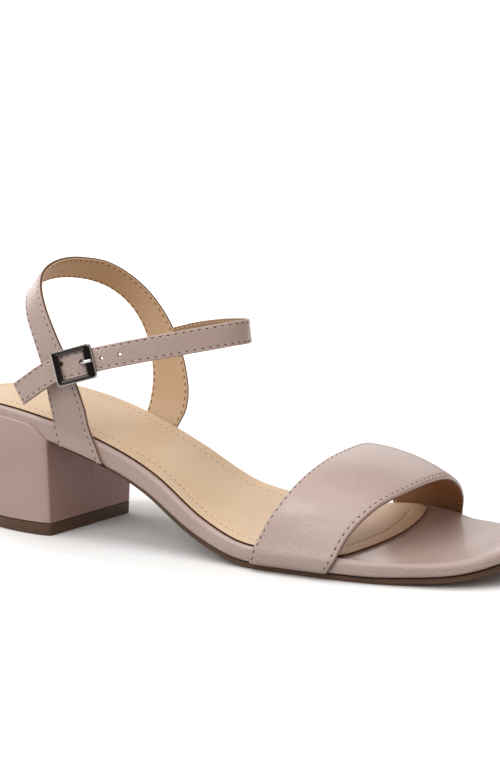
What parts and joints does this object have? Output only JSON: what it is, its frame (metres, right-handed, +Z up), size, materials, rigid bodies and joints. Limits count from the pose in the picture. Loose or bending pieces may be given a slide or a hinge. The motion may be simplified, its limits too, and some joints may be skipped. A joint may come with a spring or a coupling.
{
  "type": "block heel sandal",
  "caption": "Open toe leather sandal with a wide vamp strap, a buckled ankle strap and a covered block heel.",
  "frame": {"origin": "middle of the shoe's outline in plan, on the floor under its sole", "axes": "+X from the heel to the toe, +Y towards the inner side of the foot, +Z up"},
  "size_m": [0.248, 0.0904, 0.1069],
  "materials": {
    "mauve_leather": "smooth, soft sheen",
    "tan_sock": "matte lining leather",
    "brown_sole": "satin stained edge",
    "dark_metal": "polished dark plating"
  },
  "bodies": {
    "root": {"footbed": "mauve_leather", "insole": "tan_sock", "outsole": "brown_sole", "heel_block": "mauve_leather", "top_lift": "brown_sole", "vamp_strap": "mauve_leather", "heel_and_ankle_strap": "mauve_leather", "buckle_frame": "dark_metal", "buckle_prong": "dark_metal", "buckle_tab": "mauve_leather"}
  },
  "joints": []
}
